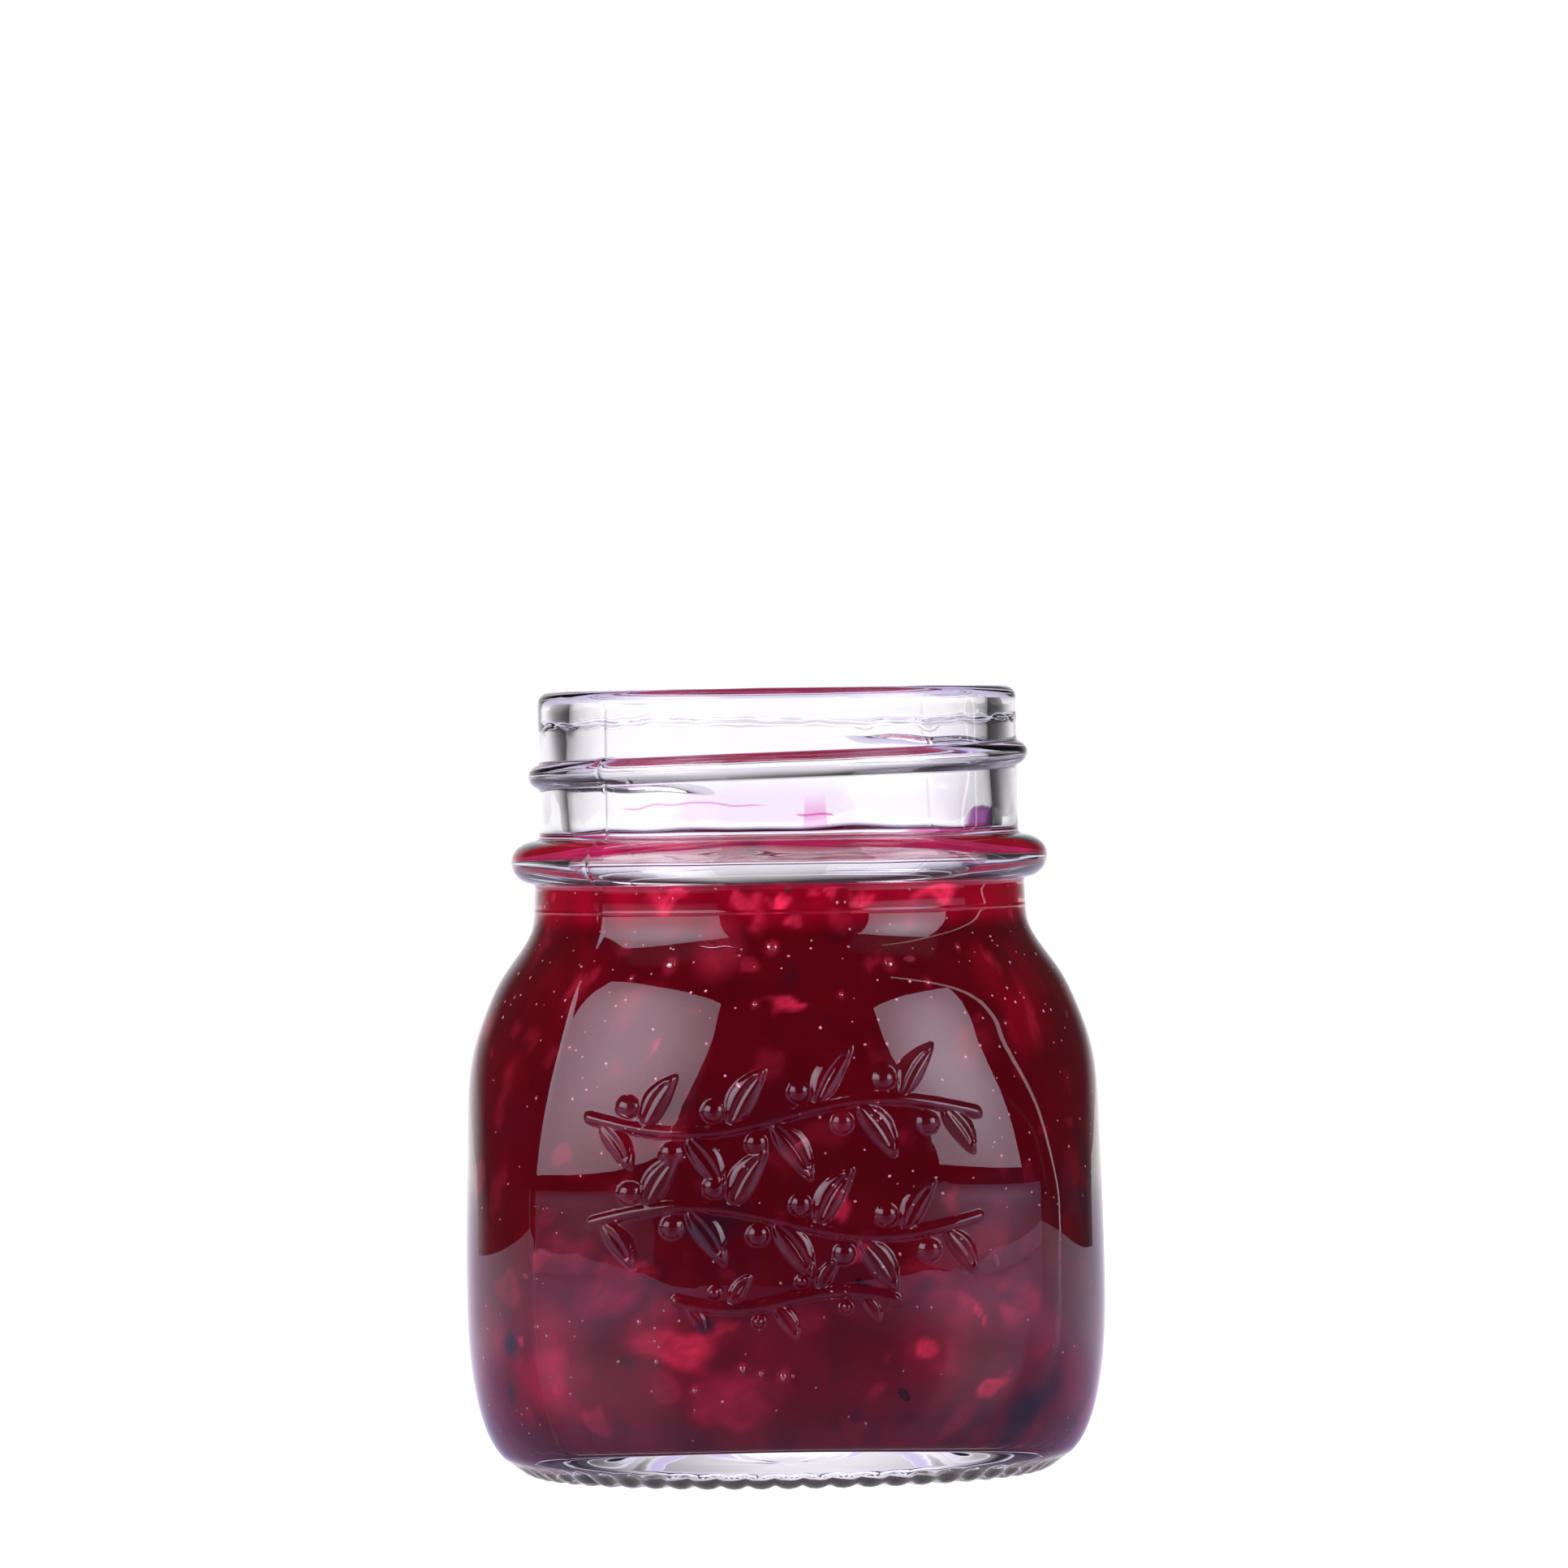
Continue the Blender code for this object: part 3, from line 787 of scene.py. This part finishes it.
def scatterGroup():
    inputs = [("Geometry", "Geometry"), ("Thing", "Object"), ("Seed", "Int"), ("Material", "Material")]
    inputs += [(name, "Float") for name in ("Density", "Smallest", "Largest", "Lowest", "Highest")]
    group, source = newGroup("scatter", "GeometryNodeTree", inputs, ("Geometry", "Geometry"))
    position = addNode(group, "GeometryNodeInputPosition", {}).outputs[0]
    height = addNode(group, "ShaderNodeSeparateXYZ", {0: position}).outputs["Z"]
    above = calculate(group, "GREATER_THAN", height, source["Lowest"])
    below = calculate(group, "LESS_THAN", height, source["Highest"])
    where = {"Mesh": source["Geometry"], "Selection": calculate(group, "MULTIPLY", above, below)}
    where |= {name: source[name] for name in ("Density", "Seed")}
    points = addNode(group, "GeometryNodeDistributePointsOnFaces", where)
    thing = addNode(group, "GeometryNodeObjectInfo", {"Object": source["Thing"]}).outputs["Geometry"]
    limits = {2: source["Smallest"], 3: source["Largest"], "Seed": source["Seed"]}
    size = addNode(group, "FunctionNodeRandomValue", limits, data_type="FLOAT").outputs[1]
    spin = addNode(group, "FunctionNodeRandomValue", {3: 2 * math.pi}, data_type="FLOAT").outputs[1]
    turn = addNode(group, "FunctionNodeAxisAngleToRotation", {"Axis": (0, 0, 1), "Angle": spin}).outputs[0]
    turned = {"Rotation": points.outputs["Rotation"], "Rotate By": turn}
    aligned = addNode(group, "FunctionNodeRotateRotation", turned, rotation_space="LOCAL").outputs[0]
    copied = {"Points": points.outputs["Points"], "Instance": thing, "Rotation": aligned, "Scale": size}
    copies = addNode(group, "GeometryNodeInstanceOnPoints", copied).outputs[0]
    real = addNode(group, "GeometryNodeRealizeInstances", {0: copies}).outputs[0]
    dressed = addNode(group, "GeometryNodeSetMaterial", {"Geometry": real, "Material": source["Material"]})
    addNode(group, "NodeGroupOutput", {"Geometry": dressed.outputs[0]})
    return group


def makeThing(name, long, detail):  # one small flattened lump, a metre in size, that the scatter scales
    edit = bmesh.new()
    bmesh.ops.create_icosphere(edit, subdivisions=detail, radius=1)
    for vertex in edit.verts:
        vertex.co.x *= long
        vertex.co.z *= 0.45
    mesh = bpy.data.meshes.new(name)
    edit.to_mesh(mesh)
    edit.free()
    mesh.shade_smooth()
    return addObject(name, mesh)


def mottleGroup():  # a color that grows paler and darker over fractions of a millimetre
    group, source = newGroup("mottle", "ShaderNodeTree", (("Base", "Color"),), ("Color", "Color"))
    place = addNode(group, "ShaderNodeTexCoord", {}).outputs["Object"]
    noise = addNode(group, "ShaderNodeTexNoise", {"Vector": place, "Scale": 1400, "Detail": 2}).outputs["Fac"]
    scale = {0: source["Base"], "Scale": spread(group, noise, 0.3, 0.7, 0.55, 1.35, "LINEAR")}
    scaled = addNode(group, "ShaderNodeVectorMath", scale, operation="SCALE").outputs[0]
    addNode(group, "NodeGroupOutput", {"Color": scaled})
    return group


mottle = mottleGroup()


def smallMaterial(name, color, roughness, specular=0.5, ior=1.5):
    material, tree, shader = newMaterial(name)
    look = addNode(tree, "ShaderNodeGroup", {"Base": (*color, 1)}, node_tree=mottle)
    finish = {"Roughness": roughness, "Specular IOR Level": specular, "IOR": ior}
    setInputs(tree, shader, {"Base Color": look.outputs["Color"]} | finish)
    return material


smallMaterials = {
    # painted glint: the specks' pale pink stands for light on tiny air bubbles
    "specks": smallMaterial("speck", (0.85, 0.33, 0.42), 0.25),
    "shoulderSpecks": smallMaterial("shoulderSpeck", (0.85, 0.38, 0.47), 0.25),
    "lowSpecks": smallMaterial("lowSpeck", (0.6, 0.24, 0.33), 0.3),
    "bubbles": smallMaterial("bubble", (0.26, 0.006, 0.02), 0.03, 1.0, 2.0),
    "seeds": smallMaterial("seed", (0.2, 0.012, 0.02), 0.35, 0.1),
    "skins": smallMaterial("skin", (0.03, 0.0, 0.005), 0.4, 0.0),
}


def wallPlace(angle, height, lift=0.0):  # a point on the jar's inner wall, and the ways along and out of it
    s, phi = arcAtHeight(height, True), frontAzimuth + angle
    at, beside, above = glassPoints(np.array([s, s, s - 0.3]), np.array([phi, phi + 0.01, phi]))
    along, up = Vector(beside - at).normalized(), Vector(above - at).normalized()
    out = along.cross(up).normalized()
    return Vector(at) + out * lift, along, out.cross(along), out


def makeHeroBubbles():
    edit = bmesh.new()
    for angle, height, long, wide in heroBubbles:
        at, along, up, out = wallPlace(math.radians(angle), height, 0.16)
        made = bmesh.ops.create_icosphere(edit, subdivisions=3, radius=1)
        for vertex in made["verts"]:
            x, y, z = vertex.co
            bend = 0.12 * math.sin(5 * x) * (long > 3 * wide)
            depth = min(wide * 0.5, 0.22)
            vertex.co = (at + along * x * long + up * (y * wide + bend) + out * z * depth) * mm
    mesh = bpy.data.meshes.new("heroBubbles")
    edit.to_mesh(mesh)
    edit.free()
    mesh.shade_smooth()
    piece = addObject("heroBubbles", mesh)
    mesh.materials.append(smallMaterials["bubbles"])
    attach(piece, "root")


def makeFilm(name, color, start, end, low, high, soft=5, inset=0.0):  # a thin clear smear of jam on the bore
    turns = np.radians(np.linspace(start, end, 90))
    n, m = len(turns), 15  # columns and rows
    points, shares = [], []
    for lift in (0.0, 0.08):  # the outer skin, and the inner one, which meets it at the edges
        for t in np.linspace(0, 1, m):
            edge = float(smoothStep(min(1, soft * t, soft * (1 - t))))
            for k, turn in enumerate(turns):
                fade = float(smoothStep(min(1, k / 12, (n - 1 - k) / 12)))
                z = low(turn) + (high(turn) - low(turn)) * t * (0.25 + 0.75 * fade)
                r = jar["boreRadius"] - inset - 0.06 - lift * edge * fade
                phi = frontAzimuth + turn
                points.append((r * math.cos(phi), r * math.sin(phi), z))
                shares.append(edge * fade)
    skin = []
    for a in range(0, n * (m - 1), n):
        skin += [(a + k, a + k + 1, a + n + k + 1, a + n + k) for k in range(n - 1)]
    faces = [f[::-1] for f in skin] + [tuple(v + n * m for v in f) for f in skin]
    rim = [*range(n), *(j * n + n - 1 for j in range(1, m)), *((m - 1) * n + k for k in range(n - 2, -1, -1))]
    rim += [j * n for j in range(m - 2, 0, -1)]
    faces += [(a, b, b + n * m, a + n * m) for a, b in zip(rim, rim[1:] + rim[:1])]
    mesh = newMesh(name, points, faces)
    storeValues(mesh, "depth", shares)
    faceOutwards(mesh)
    mesh.shade_smooth()
    piece = addObject(name, mesh)
    material, tree, shader = newMaterial(name)
    depth = addNode(tree, "ShaderNodeAttribute", {}, attribute_name="depth").outputs["Fac"]
    tint = mixed(tree, "RGBA", depth, white, (*color, 1))
    setInputs(tree, shader, {"Base Color": tint, "Roughness": 0.0, "IOR": 1.0, "Transmission Weight": 1.0})
    mesh.materials.append(material)
    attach(piece, "root")


def ragged(level, seed, size):
    draw = random.Random(seed)
    waves = [(draw.uniform(3, 45), draw.uniform(0, 6.28)) for _ in range(9)]
    return lambda turn: level + size * sum(math.sin(n * turn + p) / (1 + n / 12) for n, p in waves) / 3


makeHeroBubbles()
makeFilm("jamSmear", (0.34, 0.12, 0.36), 62, 112, ragged(66.6, 2, 0.1), ragged(69.0, 4, 0.4), 9)
makeFilm("jamRim", (0.78, 0.1, 0.4), 28, 116, ragged(66.0, 2, 0.1), ragged(67.0, 4, 0.2), 4, 0.12)
makeFilm("jamEdge", (0.8, 0.15, 0.42), -112, -38, ragged(65.8, 6, 0.1), ragged(66.5, 8, 0.15), 4)
makeFilm("jamHaze", (0.94, 0.85, 0.975), -30, 24, ragged(66.0, 3, 0.2), ragged(72.5, 7, 0.7), 3)
makeFilm("jamMist", (0.975, 0.93, 0.985), 14, 62, ragged(66.0, 13, 0.2), ragged(72.0, 17, 0.7), 2.5, 0.24)
makeFilm("jamLine", (0.86, 0.5, 0.72), -46, -1, ragged(69.4, 9, 0.5), ragged(69.7, 9, 0.5), 3, 0.12)
makeFilm("jamDrop", (0.93, 0.6, 0.8), 6, 13, ragged(66.0, 12, 0.2), ragged(71.0, 5, 0.3), 2, 0.12)
makeFilm("jamDrip", (0.85, 0.35, 0.6), 4, 15, ragged(68.4, 15, 0.25), ragged(68.75, 15, 0.25), 3, 0.24)
print("smears made")


def scatterSmallThings():
    patch, group = wallPatch(), scatterGroup()
    sockets = {item.name: item.identifier for item in group.interface.items_tree if item.in_out == "INPUT"}
    for name, density, radius, spreading, long, low, high, seed in smallThings:
        thing = makeThing(name + "One", long, 2 if radius >= roundFrom else 1)
        modifier = patch.modifiers.new("scatter", "NODES")
        modifier.node_group = group
        for socket, value in (
            ("Thing", thing),
            ("Density", float(density)),
            ("Smallest", (radius - spreading / 2) * mm),
            ("Largest", (radius + spreading) * mm),
            ("Lowest", low * mm),
            ("Highest", high * mm),
            ("Seed", seed),
            ("Material", smallMaterials[name]),
        ):
            modifier[sockets[socket]] = value
        bpy.context.view_layer.update()
        made = bpy.data.meshes.new_from_object(patch.evaluated_get(bpy.context.evaluated_depsgraph_get()))
        patch.modifiers.remove(modifier)
        bpy.data.objects.remove(thing)
        made.shade_smooth()
        piece = addObject(name, made)
        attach(piece, "root")
        print(name, "made:", len(made.polygons), "triangles")
    bpy.data.objects.remove(patch)


scatterSmallThings()

# The stage, in metres
stage = {
    "floorRight": ((1.05, -0.5), (1.05, 0.1), (0.3, 0.42), (1.7, 3)),  # x and y of its corners on the right
    "floorColor": (0.27, 0.22, 0.38, 1),
    "floorSheen": (0.8, 0.7, 1, 1),
    "lilac": (0.68, 0.56, 1.0, 1),  # tints of the light that the floor sends up
    "pale": (0.84, 0.81, 1.0, 1),
    "underTint": (0.93, 0.94, 0.95, 1),
    "beside": (0.02, 0.2, 0.1, 0.8),  # the floor's strength, from one x to another
    "behind": (-0.12, 0.12, 0, 1),  # how far a point belongs to each part, from one y to another
    "near": (-0.02, 0.14, 0, 1),
    "far": (0.4, 0.9, 0, 1),
    "underFoot": (0.029, 0.032, 1, 0),  # the same, from one radius to another. Under the jar the floor gets painted light where its shadow would fall
    "strengthBehind": 0.7,
    "strengthFar": 0.95,
    "strengthUnder": 0.8,
    "softboxTint": (0.93, 0.83, 1),
    "cardTint": (0.82, 0.64, 1),
    "cardHeight": 0.075,
    "backdrop": (0.97, 0.94, 1, 1),
    "backdropAside": math.radians(4),
    "backdropEdges": (math.radians(6), math.radians(42)),  # bright up to the first, dark from the second
    "backdropLight": (1.25, 0.05),  # in its middle, and outside its edges
    "backdropNarrows": 0.9,  # radians for each unit of height
    "backdropAbove": (0.03, 0.07, 1, 0.75),  # it dims a little above the jar
    "lens": 220,
    "cameraPlace": (0.00063, -1.0, 0.0765),
    "cameraPitch": math.radians(-0.282),
    "cameraRoll": math.radians(0.91),
}


def makeFloor():  # it narrows behind the jar, where the room is dark beside the backdrop. It glows: camera rays see an even white, and other rays meet painted light, stronger at the sides, behind and under the foot, standing in for lamps mirrored in a glossy table and for light through the glass base
    corners = [*stage["floorRight"], *((-x, y) for x, y in reversed(stage["floorRight"]))]
    mesh = bpy.data.meshes.new("floor")
    mesh.from_pydata([(x, y, 0) for x, y in corners], [], [tuple(range(len(corners)))])
    floor = addObject("floor", mesh)
    material, tree, shader = newMaterial("floorWithPaintedLight")
    place = addNode(tree, "ShaderNodeTexCoord", {}).outputs["Object"]
    split = addNode(tree, "ShaderNodeSeparateXYZ", {0: place}).outputs
    beside = spread(tree, calculate(tree, "ABSOLUTE", split["X"]), *stage["beside"])
    behind, near, far = (spread(tree, split["Y"], *stage[name]) for name in ("behind", "near", "far"))
    away = addNode(tree, "ShaderNodeVectorMath", {0: place}, operation="LENGTH").outputs["Value"]
    under = spread(tree, away, *stage["underFoot"])
    seen = addNode(tree, "ShaderNodeLightPath", {}).outputs["Is Camera Ray"]
    strength = mixed(tree, "FLOAT", behind, beside, stage["strengthBehind"])
    strength = mixed(tree, "FLOAT", far, strength, stage["strengthFar"])
    strength = mixed(tree, "FLOAT", under, strength, stage["strengthUnder"])
    strength = mixed(tree, "FLOAT", seen, strength, 1.0)
    tint = mixed(tree, "RGBA", far, mixed(tree, "RGBA", near, stage["lilac"], stage["pale"]), white)
    tint = mixed(tree, "RGBA", seen, mixed(tree, "RGBA", under, tint, stage["underTint"]), white)
    finish = {"Roughness": 0.25, "Specular IOR Level": 0.9, "Specular Tint": stage["floorSheen"]}
    setInputs(tree, shader, {"Base Color": stage["floorColor"]} | finish)
    setInputs(tree, shader, {"Emission Color": tint, "Emission Strength": strength})
    mesh.materials.append(material)


def addPanel(name, middle, facing, size, radiance, color, edge=None):  # edge: its share of light there
    light = bpy.data.lights.new(name, "AREA")
    light.shape = "RECTANGLE"
    light.size, light.size_y = size
    light.energy = radiance * math.pi * light.size * light.size_y
    light.color = color
    made = addObject(name, light)
    made.matrix_world = Matrix.Translation(middle) @ facing.to_4x4()
    made.visible_camera = False
    if edge is not None:
        light.use_nodes = True
        tree = light.node_tree
        place = addNode(tree, "ShaderNodeNewGeometry", {}).outputs["Parametric"]
        away = addNode(tree, "ShaderNodeVectorMath", {0: place, 1: (0.5, 0.5, 0)}, operation="DISTANCE")
        fall = spread(tree, away.outputs["Value"], 0.05, 0.6, 1.0, edge)
        setInputs(tree, tree.nodes["Emission"], {"Strength": fall})


def direction(azimuth, elevation):  # azimuth 0 is in front of the jar, and 90 to its right
    a, e = math.radians(azimuth), math.radians(elevation)
    return Vector((math.sin(a) * math.cos(e), -math.cos(a) * math.cos(e), math.sin(e)))


def addUpright(name, azimuth, distance, halfWidth, low, high, radiance, color, edge):
    away = direction(azimuth, 0)
    middle = away * distance + Vector((0, 0, (low + high) / 2))
    facing = away.to_track_quat("Z", "Y").to_matrix()
    addPanel(name, middle, facing, (2 * halfWidth, high - low), radiance, color, edge)


def addStrip(name, start, end, width, radiance, color):  # a thin bright line between two directions
    a, b = direction(*start) * 0.8, direction(*end) * 0.8
    along = (b - a).normalized()
    away = ((a + b) / 2).normalized()
    away = (away - along * away.dot(along)).normalized()
    facing = Matrix((along, away.cross(along), away)).transposed()
    addPanel(name, (a + b) / 2, facing, ((b - a).length, width), radiance, color)


def makeWorld():
    world = bpy.data.worlds.new("studio")
    bpy.context.scene.world = world
    world.use_nodes = True
    tree = world.node_tree
    place = addNode(tree, "ShaderNodeTexCoord", {}).outputs["Generated"]
    split = addNode(tree, "ShaderNodeSeparateXYZ", {0: place}).outputs
    side = calculate(tree, "ADD", calculate(tree, "ARCTAN2", split["X"], split["Y"]), stage["backdropAside"])
    width = calculate(tree, "ABSOLUTE", side)
    narrowing = calculate(tree, "MULTIPLY_ADD", split["Z"], stage["backdropNarrows"], width)
    band = spread(tree, narrowing, *stage["backdropEdges"], *stage["backdropLight"])
    dimmed = calculate(tree, "MULTIPLY", band, spread(tree, split["Z"], *stage["backdropAbove"]))
    seen = addNode(tree, "ShaderNodeLightPath", {}).outputs["Is Camera Ray"]
    strength = mixed(tree, "FLOAT", seen, dimmed, 1.1)
    setInputs(tree, tree.nodes["Background"], {"Color": stage["backdrop"], "Strength": strength})


def makeCamera():
    data = bpy.data.cameras.new("camera")
    data.sensor_width = 36
    data.lens = stage["lens"]
    data.clip_start = 0.05
    made = addObject("camera", data)
    upright = Matrix.Rotation(math.radians(90) + stage["cameraPitch"], 4, "X")
    turn = upright @ Matrix.Rotation(-stage["cameraRoll"], 4, "Z")
    made.matrix_world = Matrix.Translation(stage["cameraPlace"]) @ turn
    bpy.context.scene.camera = made


makeFloor()
addUpright("softboxLeft", -61, 0.6, 0.39, 0.12, 0.75, 5.2, stage["softboxTint"], 0.5)
addUpright("softboxRight", 62, 0.6, 0.23, 0.12, 0.59, 6.0, stage["softboxTint"], 0.5)
addStrip("edgeRight", (112, -2), (64, 56), 0.016, 2.5, (1, 0.8, 0.85))
for side, azimuth, halfWidth, radiance in (("Left", -62, 0.4, 0.8), ("Right", 63, 0.38, 1.7)):
    low, high = 0.0005, 0.0005 + stage["cardHeight"]
    addUpright("card" + side, azimuth, 0.61, halfWidth, low, high, radiance, stage["cardTint"], 0.3)
makeWorld()
makeCamera()
bpy.context.scene.view_settings.view_transform = "Standard"
print("stage made")
